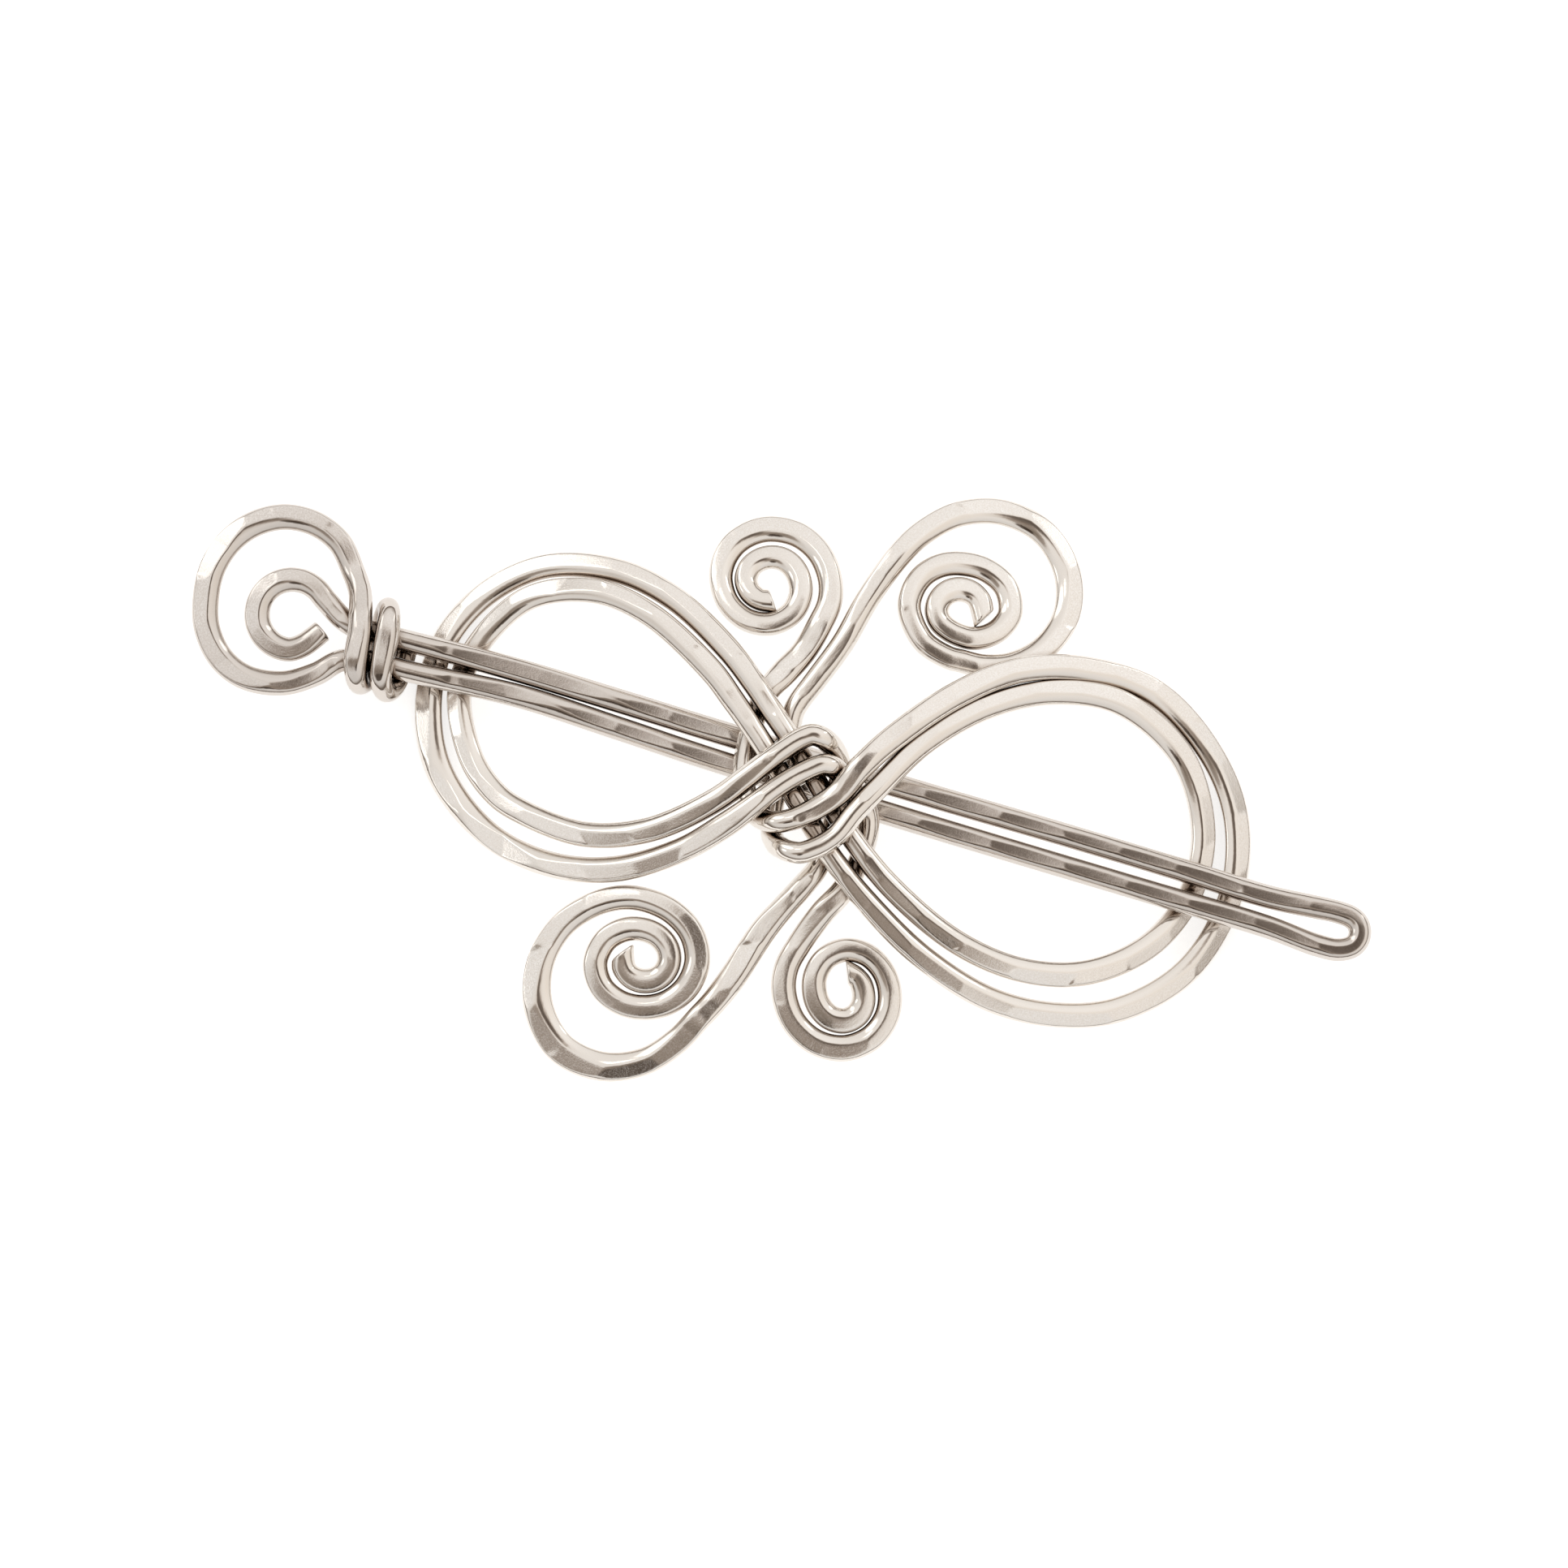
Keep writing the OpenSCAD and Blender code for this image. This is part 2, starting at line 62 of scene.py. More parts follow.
# Scrolls: centre, slope of the plane, and rows of [angle, radius, hammering] from the cut end outwards
SCROLL_BL_CENTRE = [-15.1, -15.3, 5.4]
SCROLL_BL_SLOPE = [0.13, 0.11]
SCROLL_BL = [
    [165, 2.0, 0.1], [270, 1.75, 0.6], [360, 2.4, 0.5], [450, 3.0, 0.5], [540, 4.5, 0.6],
    [630, 4.2, 0.7], [720, 5.0, 0.9], [810, 5.8, 0.6], [855, 7.3, 0.7], [900, 9.65, 1.3],
    [945, 11.0, 2.0], [990, 9.2, 1.2], [1012, 8.0, 1.0], [1035, 7.35, 0.8],
]
SCROLL_TR_CENTRE = [14.45, 17.65, 5.9]
SCROLL_TR_SLOPE = [-0.18, -0.15]
SCROLL_TR = [
    [0, 2.05, 0.3], [90, 2.1, 0.7], [180, 2.25, 0.5], [270, 2.35, 0.4], [315, 3.35, 0.4],
    [360, 4.65, 0.6], [450, 4.6, 0.6], [495, 4.85, 0.5], [540, 4.8, 0.4], [580, 4.6, 0.4],
    [615, 4.65, 0.4], [630, 4.8, 0.4], [675, 6.95, 0.5], [720, 9.95, 1.2], [765, 11.1, 1.2],
    [810, 9.45, 0.9], [833, 8.35, 0.8], [855, 7.8, 0.7],
]
SCROLL_TL_CENTRE = [-3.2, 20.75, 5.1]
SCROLL_TL_SLOPE = [0.05, -0.18]
SCROLL_TL = [
    [-90, 2.1, 0.2], [-180, 2.4, 0.3], [-270, 2.2, 0.5], [-360, 2.6, 0.5], [-450, 4.25, 0.5],
    [-540, 4.75, 0.4], [-585, 4.95, 0.9], [-630, 4.95, 1.0], [-720, 5.45, 0.6], [-765, 6.3, 0.8],
]
SCROLL_BR_CENTRE = [3.6, -18.1, 4.9]
SCROLL_BR_SLOPE = [-0.05, 0.1]
SCROLL_BR = [
    [80, 1.85, 0.1], [0, 1.75, 0.3], [-90, 2.6, 0.8], [-180, 2.8, 0.7], [-270, 3.95, 0.4],
    [-360, 4.2, 0.5], [-450, 5.15, 1.0], [-540, 5.65, 0.7], [-585, 6.1, 0.6],
]

# Ways of the two frame wires: rows of [x, y, z, hammering]
STEM_BL = [
    [-8.5, -18.95, 5.4, 0.9], [-6.9, -16.9, 5.7, 1.2], [-3.95, -12.45, 6.1, 1.0],
    [-2.15, -10.35, 6.3, 0.5], [-0.25, -8.25, BACK_Z - 0.05, 0.3],
]
STEM_TR = [
    [5.9, 19.0, 6.0, 0.5], [3.45, 14.6, 6.3, 0.3], [0.75, 10.85, BACK_Z - 0.05, 0.2],
    [-0.65, 9.0, BACK_Z, 0.1],
]
STEM_TL = [
    [-3.4, 10.25, BACK_Z - 0.2, 0.6], [-2.1, 11.75, BACK_Z - 0.35, 1.2], [-0.2, 13.85, 5.85, 0.8],
]
STEM_BR = [[1.5, -10.8, 6.2, 0.7]]
# Back of the knot and round its upper right end to the front
OUTER_TURN_A = [
    [1.0, -6.7, BACK_Z, 0], [1.9, -4.5, BACK_Z, 0], [2.5, -2.3, BACK_Z, 0], [2.9, 0, BACK_Z, 0],
    [3.1, 1.4, BACK_Z + 0.1, 0], [3.2, 2.5, BACK_Z + 0.5, 0], [3.1, 3.25, BACK_Z + 1.2, 0],
    [2.8, 3.9, MIDDLE_Z + 0.05, 0], [2.4, 4.4, MIDDLE_Z + 0.95, 0], [1.95, 4.75, FRONT_Z - 0.55, 0],
    [1.45, 5.05, FRONT_Z - 0.15, 0], [0.6, 5.25, FRONT_Z, 0], [-0.45, 4.9, FRONT_Z, 0],
]
# Back of the knot and round its lower left end to the front
OUTER_TURN_B = [
    [-1.2, 7.9, BACK_Z, 0], [-1.5, 6.6, BACK_Z, 0], [-2.0, 4.5, BACK_Z, 0], [-2.55, 2.0, BACK_Z, 0],
    [-3.0, -0.6, BACK_Z + 0.05, 0], [-3.2, -2.1, BACK_Z + 0.2, 0], [-3.2, -3.0, BACK_Z + 0.6, 0],
    [-3.15, -3.7, BACK_Z + 1.2, 0], [-2.95, -4.3, MIDDLE_Z - 0.2, 0], [-2.65, -4.85, MIDDLE_Z + 0.5, 0],
    [-2.2, -5.2, MIDDLE_Z + 1.2, 0], [-1.75, -5.5, FRONT_Z - 0.5, 0], [-1.1, -5.7, FRONT_Z - 0.15, 0],
    [-0.4, -5.75, FRONT_Z, 0], [1.1, -5.25, FRONT_Z, 0],
]
# From the front of the knot down its lower left end to the arc behind, and on to a tail
INNER_TURN_A = [
    [0.6, -1.85, FRONT_Z + 0.05, 0.4], [-1.1, -2.6, FRONT_Z, 0.1], [-2.5, -2.85, FRONT_Z - 0.35, 0],
    [-3.6, -2.6, MIDDLE_Z + 0.95, 0], [-4.5, -2.05, MIDDLE_Z + 0.05, 0], [-5.1, -1.1, MIDDLE_Z - 0.85, 0],
    [-5.55, 0.1, BACK_Z + 0.75, 0], [-5.75, 1.6, BACK_Z + 0.2, 0], [-5.75, 3.3, BACK_Z, 0],
    [-5.2, 6.0, BACK_Z - 0.05, 0], [-4.4, 8.5, BACK_Z - 0.15, 0.2],
]
# From the front of the knot down its upper right end to the arc behind, and on to a tail
INNER_TURN_B = [
    [-0.45, 1.65, FRONT_Z + 0.05, 0], [1.5, 2.45, FRONT_Z, 0], [2.4, 2.35, FRONT_Z - 0.3, 0],
    [3.1, 1.9, MIDDLE_Z + 0.95, 0], [3.85, 1.25, MIDDLE_Z + 0.25, 0], [4.6, 0.6, MIDDLE_Z - 0.45, 0],
    [5.3, -0.4, BACK_Z + 0.85, 0], [5.75, -1.7, BACK_Z + 0.15, 0], [5.75, -3.3, BACK_Z, 0],
    [4.8, -6.3, BACK_Z, 0], [3.4, -8.75, BACK_Z - 0.05, 0.5],
]
# Through the knot, between its front and its back, from one loop to the other
DIAGONAL_A = [[-5.65, 7.25, 8.55, 0.2], [-3.95, 4.65, MIDDLE_Z, 0], [2.35, -5.8, MIDDLE_Z, 0]]
DIAGONAL_B = [[4.3, -4.15, MIDDLE_Z, 0], [-1.85, 5.85, MIDDLE_Z, 0]]
# Strands of the two loops
LEFT_INNER = [
    [-2.8, 3.35, FRONT_Z + 0.1, 0.1], [-5.6, 1.2, FRONT_Z - 0.2, 0.4], [-8.5, -0.8, 9.9, 0.6],
    [-14.6, -3.3, 8.4, 0.7], [-20.7, -3.45, 6.6, 0.8], [-26.7, -0.95, 4.4, 0.7],
    [-29.05, 0.85, 3.45, 0.7], [-31.35, 4.4, 2.5, 0.7], [-32.45, 10.7, 2.0, 0.7],
    [-30.8, 14.9, 2.2, 0.8], [-26.0, 19.15, 3.9, 0.7], [-19.8, 19.55, 5.9, 0.7],
    [-14.6, 17.15, 7.3, 0.6], [-8.8, 11.65, 8.2, 0.6], [-6.85, 9.0, 8.4, 0.4],
]
RIGHT_OUTER = [
    [5.75, -10.15, 8.3, 0.4], [11.1, -15.3, 7.4, 0.6], [17.2, -18.9, 6.0, 0.7],
    [23.3, -20.15, 4.7, 0.7], [29.25, -19.45, 3.3, 0.8], [35.55, -15.65, 1.9, 0.9],
    [39.6, -8.85, 1.15, 0.9], [40.3, -1.7, 1.12, 1.1], [38.2, 4.35, 1.55, 1.0],
    [32.95, 10.15, 3.3, 1.2], [26.3, 12.15, 5.7, 0.9], [20.1, 11.85, 7.6, 0.9],
    [14.05, 9.25, 9.4, 1.0], [8.15, 5.0, 10.9, 0.9], [5.1, 2.15, FRONT_Z + 0.6, 0.7],
    [2.95, -0.3, FRONT_Z + 0.2, 0.6],
]
RIGHT_INNER = [
    [2.8, -4.15, FRONT_Z + 0.05, 0], [4.5, -2.05, FRONT_Z + 0.05, 0], [6.45, 0.1, FRONT_Z - 0.1, 0.3],
    [11.0, 4.7, 9.5, 0.5], [17.1, 8.4, 7.9, 0.6], [23.35, 9.95, 6.3, 0.8], [29.5, 9.1, 4.9, 0.9],
    [35.25, 4.25, 2.7, 0.9], [37.15, -2.6, 1.85, 0.7], [36.0, -8.25, 1.7, 0.7],
    [32.3, -13.2, 2.8, 0.8], [26.3, -16.2, 4.9, 0.8], [20.2, -16.2, 6.4, 0.7],
    [14.15, -13.8, 7.6, 0.6], [8.05, -8.8, 8.4, 0.4],
]
LEFT_OUTER = [
    [-3.25, 8.0, 8.5, 0.2], [-4.85, 10.5, 8.35, 0.4], [-7.25, 13.75, 7.85, 0.6],
    [-12.35, 18.75, 6.7, 0.7], [-17.8, 21.6, 5.3, 0.7], [-24.6, 22.25, 3.2, 0.8],
    [-30.3, 19.7, 1.7, 1.1], [-34.1, 15.1, 1.1, 1.2], [-35.4, 9.35, 1.05, 1.5],
    [-34.3, 3.2, 1.25, 1.3], [-29.7, -2.9, 2.8, 0.8], [-23.7, -6.1, 5.0, 0.8],
    [-17.65, -6.75, 6.9, 0.9], [-11.6, -5.25, 8.7, 0.7], [-7.7, -3.25, 10.25, 0.8],
    [-5.0, -1.45, FRONT_Z + 0.1, 0.3], [-2.8, 0.2, FRONT_Z + 0.2, 0],
]

# Stick: curl and ring of its head as scrolls, then rows of [x, y, z, hammering]
CURL_CENTRE = [-48.3, 17.6, STICK_Z]
CURL = [
    [-28, 3.4, 0.2], [-45, 3.15, 0.3], [-90, 3.3, 0.5], [-135, 3.15, 0.8], [-180, 3.05, 0.8],
    [-225, 3.15, 0.7], [-270, 3.3, 0.6], [-315, 3.45, 0.4],
]
RING_CENTRE = [-48.9, 19.25, STICK_Z]
RING = [
    [-67, 7.9, 0.4], [-90, 8.15, 0.6], [-115, 8.35, 0.8], [-135, 8.2, 0.9], [-180, 7.25, 1.0],
    [-225, 7.3, 1.0], [-270, 7.6, 0.9], [-315, 7.35, 0.6], [-340, 6.95, 0.4],
]
SHANKS = [
    [-44.9, 18.9, STICK_Z, 0.3], [-42.85, 16.8, STICK_Z, 0.1], [-40.8, 16.0, STICK_Z, 0],
    [-37.3, 15.1, STICK_Z, 0], [-26.7, 12.25, STICK_Z, 0.45], [-17.7, 9.5, STICK_Z, 0.5],
    [-8.6, 6.65, STICK_Z, 0.5], [11.1, 0.65, STICK_Z, 0.4], [24.0, -3.15, STICK_Z, 0.3],
    [35.0, -6.5, STICK_Z, 0.25], [43.0, -9.0, STICK_Z, 0.3], [47.5, -10.0, STICK_Z, 0.3],
    [49.5, -10.45, STICK_Z, 0.2], [50.8, -10.95, STICK_Z, 0.2], [51.4, -11.55, STICK_Z, 0.2],
    [51.6, -12.35, STICK_Z, 0.2], [51.4, -13.15, STICK_Z, 0.2], [50.8, -13.75, STICK_Z, 0.2],
    [49.5, -14.0, STICK_Z, 0.2], [47.5, -13.55, STICK_Z, 0.2], [43.0, -11.85, STICK_Z, 0.25],
    [32.3, -8.65, STICK_Z, 0.3], [11.1, -2.25, STICK_Z, 0.3], [-8.6, 3.85, STICK_Z, 0.35],
    [-17.7, 6.9, STICK_Z, 0.4], [-26.7, 9.85, STICK_Z, 0.4], [-37.3, 12.25, STICK_Z, 0],
    [-41.1, 13.25, STICK_Z, 0], [-43.6, 13.2, STICK_Z, 0.1],
]
COIL = [
    [-41.75, 19.8, STICK_Z + 0.65, 0.35], [-41.6, 18.3, STICK_Z + 1.35, 0.35],
    [-41.6, 17.0, STICK_Z + 1.95, 0.4], [-41.65, 15.4, STICK_Z + COIL_Z, 0.5],
    [-42.0, 12.9, STICK_Z + COIL_Z, 0.5], [-41.95, 11.45, STICK_Z + 1.3, 0.1],
    [-41.7, 11.05, STICK_Z, 0], [-41.2, 11.7, STICK_Z - 1.6, 0],
    [-40.7, 13.4, STICK_Z - COIL_Z, 0], [-40.2, 15.6, STICK_Z - COIL_Z, 0],
    [-39.6, 17.5, STICK_Z - 1.7, 0], [-39.1, 18.2, STICK_Z, 0], [-38.9, 17.4, STICK_Z + 1.5, 0.1],
    [-39.0, 15.9, STICK_Z + COIL_Z, 0.5], [-39.4, 13.4, STICK_Z + COIL_Z, 0.5],
    [-39.7, 11.3, STICK_Z + 1.6, 0.1], [-39.3, 10.35, STICK_Z, 0], [-38.6, 11.0, STICK_Z - 1.6, 0],
    [-38.0, 12.5, STICK_Z - COIL_Z, 0], [-37.5, 14.4, STICK_Z - COIL_Z, 0],
]

# Edges of a hammered flat: how far they are worn at most and at least, and the hammering of a scroll at
# which they start to be crisp and over which they become so
SOFT_EDGE = 0.2
CRISP_EDGE = 0.08
CRISP_FROM = 0.6
CRISP_SPAN = 0.4

# About how far a scroll turns between two way-points
SCROLL_STEP = 30

# Mesh of a wire: distance between its rings, step of the line they are taken from, and how the points of
# a ring share out over a flat and over a quarter of the walls
RING_STEP = 0.16
FINE_STEP = 0.1
FLAT_SHARES = [0, 0.06, 0.14, 0.28, 0.43, 0.57, 0.72, 0.86, 0.94, 1]
WALL_SHARES = [0.1, 0.3, 0.5, 0.7, 0.9]
# Columns on which the edges of a flat are searched, how far out they go as a share of half the width,
# rings to each side over which the edges are evened out, and half of the narrowest flat
TRIAL_COLUMNS = 100
TRIAL_REACH = 0.99
EDGE_RINGS = 2
LEAST_FLAT = 0.12

# How strongly a face is drawn to its wanted side on round wire, and how much more on hammered wire, at
# each ring of the part's own source, which lie this many millimetres or degrees apart
ROUND_PULL = 0.15
HAMMERED_PULL = 0.85
CAD_RING_STEP = 4
CAD_RING_TURN = 10

# Facets: radius of their hollow, width of the border between two, how far it leans and the change of
# slopes that makes it lean, how far it reaches, and how far their heights are evened out
DISH_RADIUS = 90
BORDER = 0.55
BORDER_LEAN = 0.6
LEAN_SCALE = 0.002
BORDER_REACH = 1.5
TREND_REACH = 5
# How far a random facet may lie from its even place, as a share of the room for it, and what is added to
# the seed for the underside
PLACE_SHIFT = 0.25
BOTTOM_SEED = 50

# Hammering below which a wire starts to stay round, and how far its flats then lie over its surface
LIGHT_HAMMERING = 0.15
ROUND_CLEARANCE = 0.3
# Flat as a share of the width, on lightly and on fully hammered wire
LIGHT_FLAT = 0.24
FULL_FLAT = 0.5
# Depth of a cut that counts as fully flat, and how much the flat of unhammered wire is marked
FLAT_DEPTH = 0.06
LIGHT_MARKS = 0.1

# Bends: slope of the flat towards the outer side, shift of the crown as a share of half the width,
# hammering from which both are full, turn in radians for each millimetre that counts as a bend, and how
# far that is evened out
WEDGE = 0.17
SKEW = 0.22
FULL_SHIFT = 0.4
BEND_SCALE = 0.04
EVEN_REACH = 2.5

# Cut ends: wear of their edge, how many rings an oblique cut stretches, and how that fades
END_WEAR = 0.12
CUT_RINGS = 10
CUT_FADE = 1.5
# Oblique cuts of the first and last end: how much longer the wire is in its middle, and how much more for
# each millimetre towards the inner side of its bend
CUTS_A = ((0.3, 0.7), (0, -0.5))
CUTS_B = ((0.6, 0.6), (0, -0.6))
CUTS_STICK = ((0, 0), (0, 0))

# How far the whole part is lowered, so that it stands on the table
DROP = 0.07

# Random facets: seed, spacing, greatest slope along and greatest slope across
RANDOM_A = (11, 5, 0.03, 0.09)
RANDOM_B = (12, 5, 0.03, 0.09)
RANDOM_STICK = (13, 6, 0.02, 0.06)

# Facets that the photograph shows: x, y, and the lean of the face as x and y
FACETS_A = [
    # Large scroll at the bottom left, from its left side round to its stem
    [-26.0, -15.8, -0.1, 0.1],
    [-24.3, -21.5, 0.06, -0.04],
    [-20.7, -24.0, 0.06, 0.06],
    [-16.1, -24.8, 0.12, -0.02],
    [-12.7, -23.3, 0.1, 0.08],
    [-6.3, -15.9, -0.1, 0.1],
    # Inner strand of the left loop
    [-20.5, 20.0, 0.02, 0.06],
    [-25.6, 19.4, 0.2, -0.02],
    [-29.2, 17.8, 0.15, 0.07],
    [-28.7, 0.5, 0.14, 0.12],
    [-23.7, -2.7, 0.06, 0.08],
    # Front of the knot
    [4.6, 2.0, 0.02, -0.06],
    [1.5, -1.3, -0.06, -0.02],
    # Small spiral at the top left
    [-3.3, 25.0, 0.02, -0.04],
]
FACETS_B = [
    # Outer strand of the left loop, from its top round to its lower side
    [-25.5, 22.6, 0.1, -0.08],
    [-30.5, 20.1, 0.12, 0.02],
    [-32.4, 17.1, 0.06, -0.04],
    [-35.2, 6.9, 0.08, 0.08],
    [-33.6, 1.7, 0.14, 0.02],
    [-29.5, -2.4, 0.22, -0.02],
    [-23.0, -5.9, 0.08, 0.06],
    # Large scroll at the top right
    [11.7, 26.2, -0.1, -0.02],
    [18.0, 27.2, -0.16, -0.1],
    [23.9, 24.5, 0.02, 0.06],
    [24.6, 19.1, 0.08, -0.04],
    # Small spiral at the bottom right
    [3.6, -23.3, -0.02, 0.06],
]
FACETS_STICK = [
    # Ring of the head, from its lower left to its top and down to the coil
    [-52.5, 12.3, -0.06, 0.1],
    [-55.4, 14.7, 0.04, 0.04],
    [-56.3, 19.2, -0.02, 0.04],
    [-55.4, 22.9, -0.14, 0.12],
    [-53.7, 25.2, -0.2, 0.06],
    [-51.7, 26.3, 0.02, 0.02],
    [-47.6, 26.8, 0, -0.04],
    [-43.2, 23.4, 0.02, 0.02],
    # Curl
    [-50.9, 19.3, -0.06, 0.06],
    [-47.5, 20.9, 0.02, 0],
    # Upper and lower shank
    [-29.0, 13.0, 0, 0.02],
    [-20.4, 10.5, -0.08, 0.04],
    [-15.0, 8.6, 0.02, 0],
    [-30.0, 10.7, 0, 0.02],
    [-26.3, 9.7, -0.08, 0.02],
    [-20.0, 7.7, 0.02, 0.02],
]

# Metal of the frame and of the stick: colour, roughness, and how worn its flats are
FRAME_FINISH = ((0.78, 0.735, 0.685), 0.09, 0.9)
STICK_FINISH = ((0.66, 0.612, 0.57), 0.1, 0.75)
# Marks: scale of the noise, its stretch along, across and up, its detail, and the values at which a mark
# starts and is full
SPECKS = (8, (0.8, 1, 1), 2, 0.38, 0.72)
SCRATCHES = (5, (2.5, 0.3, 1), 3, 0.5, 0.8)
WEAR = (0.4, (1, 1, 1), 2, 0.35, 0.7)
SPECK_SHARE = 0.6
MARK_COLOUR = (0.93, 0.92, 0.91)
MARK_ROUGHNESS = 0.16
FLAT_ROUGHNESS = 0.05
# Fine relief: scale, stretch and detail of its noise, its strength and its depth
GRAIN = (4, (0.4, 1, 1), 2)
RELIEF_STRENGTH = 0.25
RELIEF_DEPTH = 0.02
# Shade painted into the gaps between strands: how far it reaches, how many rays look for it, and colour by
# openness
GAP_SHADE_REACH = 2
GAP_SHADE_SAMPLES = 8
GAP_SHADE_COLOURS = [(0.12, (0.02, 0.012, 0.008)), (0.4, (0.5, 0.42, 0.36)), (0.75, (1, 1, 1))]

# Floor: size in metres, colour and glow
FLOOR_SIZE = 6
FLOOR_COLOUR = (0.55, 0.55, 0.55)
FLOOR_GLOW = (1, 0.995, 0.985)
FLOOR_GLOW_STRENGTH = 0.75

# Light of the room: its strength, and its colour by height, from the horizon at 0 to straight overhead at 1
ROOM_STRENGTH = 1.5
ROOM_HEIGHTS = [
    (0, (0.15, 0.115, 0.09)),
    (0.1, (0.18, 0.145, 0.12)),
    (0.26, (0.52, 0.49, 0.46)),
    (0.38, (0.77, 0.755, 0.74)),
    (0.8, (0.8, 0.785, 0.77)),
    (1, (0.8, 0.785, 0.77)),
]
# Patches that tint or darken it: middle and reach of each as a direction's x and y, and colours outwards
DAYLIGHT = [(0, (0.93, 0.93, 0.93)), (0.5, (0.83, 0.825, 0.82)), (1, (0.7, 0.7, 0.7))]
CEILING = [
    (0, (0.12, 0.095, 0.08)), (0.36, (0.21, 0.178, 0.155)), (0.55, (0.63, 0.58, 0.54)),
    (0.7, (0.95, 0.94, 0.93)), (1, (1, 1, 1)),
]
WARM_WALL = [(0, (1, 0.965, 0.92)), (0.5, (1, 0.98, 0.955)), (1, (1, 1, 1))]
NEAR_SIDE = [(0, (0.25, 0.21, 0.175)), (0.5, (0.42, 0.37, 0.33)), (0.75, (0.9, 0.88, 0.86)), (1, (1, 1, 1))]
NEAR_DARK = [(0, (0.1, 0.08, 0.065)), (0.7, (0.2, 0.17, 0.15)), (1, (1, 1, 1))]
ROOM_PATCHES = [
    ((0.5, 0.5), (1.7, 1.7), DAYLIGHT),
    ((0.13, 0.04), (0.34, 0.53), CEILING),
    ((0.75, -0.1), (0.6, 0.6), WARM_WALL),
    ((-0.2, -0.32), (0.65, 0.32), NEAR_SIDE),
    ((-0.17, -0.52), (0.19, 0.15), NEAR_DARK),
]
# Lamps that brighten it: middle and reach of each in the same way, and the colours of all
LAMPS = [
    ((-0.3, 0.42), (0.12, 0.08)),
    ((-0.6, 0.56), (0.22, 0.24)),
    ((-0.86, 0.1), (0.08, 0.2)),
    ((0.68, 0.6), (0.1, 0.12)),
]
LAMP_COLOURS = [(0, (0.6, 0.6, 0.59)), (0.6, (0.54, 0.54, 0.53)), (1, (0, 0, 0))]

# Camera: lens and sensor in millimetres, shift, place in metres, and tilt away from straight down
LENS = 221.37
SENSOR = 36
SHIFT_X = -0.01398
SHIFT_Y = 0.00647
CAMERA_PLACE = (0, -0.12461, 0.89529)
CAMERA_TILT = 8


def smooth_value(a, b, c, d, ta, tb, tc, td, t):
    """Value at t between b and c on a smooth curve through a, b, c and d at their four times."""
    m1 = ((b - a) * (tc - tb) / (tb - ta) + (c - b) * (tb - ta) / (tc - tb)) / (tc - ta)
    m2 = ((c - b) * (td - tc) / (tc - tb) + (d - c) * (tc - tb) / (td - tc)) / (td - tb)
    w = tc - tb
    s = (t - tb) / w
    return (
        b * (1 + 2 * s) * (1 - s) ** 2 + m1 * w * s * (1 - s) ** 2
        + c * s * s * (3 - 2 * s) - m2 * w * s * s * (1 - s)
    )


def row_at(rows, i):
    """Row i, or the row that would come before the first or after the last."""
    if i < 0:
        return 2 * rows[0] - rows[1]
    if i >= len(rows):
        return 2 * rows[-1] - rows[-2]
    return rows[i]


def scroll_points(centre, slope, table, crisp=False):
    """Way-points of a scroll: x, y, z, hammering, the wanted face as x and y, and wear of the edges."""
    rows = np.array(table, float)
    points = []
    for i in range(len(rows) - 1):
        steps = max(1, round(abs(rows[i + 1][0] - rows[i][0]) / SCROLL_STEP))
        last = i == len(rows) - 2
        around = [row_at(rows, k) for k in (i - 1, i, i + 1, i + 2)]
        for k in range(steps + last):
            angle = rows[i][0] + (rows[i + 1][0] - rows[i][0]) * k / steps
            turn, radius, hammering = smooth_value(*around, *[r[0] for r in around], angle)
            dx = radius * math.cos(math.radians(turn))
            dy = radius * math.sin(math.radians(turn))
            z = centre[2] + slope[0] * dx + slope[1] * dy
            crispness = 1 if crisp else min(1, max(0, (hammering - CRISP_FROM) / CRISP_SPAN))
            edge = SOFT_EDGE + (CRISP_EDGE - SOFT_EDGE) * crispness
            points.append([centre[0] + dx, centre[1] + dy, z, hammering, -slope[0], -slope[1], edge])
    return points


def arched(table):
    """Way-points of the arched frame, whose faces turn outwards."""
    return [
        [x, y, z, hammering, BOW_X * x, BOW_Y * y + LEAN_X * x, CRISP_EDGE] for x, y, z, hammering in table
    ]


def level(table):
    """Way-points of the level stick."""
    return [[x, y, z, hammering, 0, 0, CRISP_EDGE] for x, y, z, hammering in table]


def smooth_line(points):
    """How far along each ring of the wire lies, and the smooth line through its way-points there."""
    rows = np.array(points, float)
    line = []
    for i in range(len(rows) - 1):
        a, b, c, d = [row_at(rows, k) for k in (i - 1, i, i + 1, i + 2)]
        ta, tc, td = [math.sqrt(np.linalg.norm(q[:3] - p[:3])) for p, q in ((a, b), (b, c), (c, d))]
        steps = math.ceil(np.linalg.norm(c[:3] - b[:3]) / FINE_STEP)
        for k in range(steps):
            line.append(smooth_value(a, b, c, d, -ta, 0, tc, tc + td, tc * k / steps))
    line.append(rows[-1])
    line = np.array(line)
    run = np.concatenate([[0], np.cumsum(np.linalg.norm(np.diff(line[:, :3], axis=0), axis=1))])
    at = np.linspace(0, run[-1], round(run[-1] / RING_STEP) + 1)
    return at, np.stack([np.interp(at, run, column) for column in line.T], axis=1)


def unit(v):
    """Vectors of the same direction and of length 1."""
    return v / np.linalg.norm(v, axis=-1, keepdims=True)


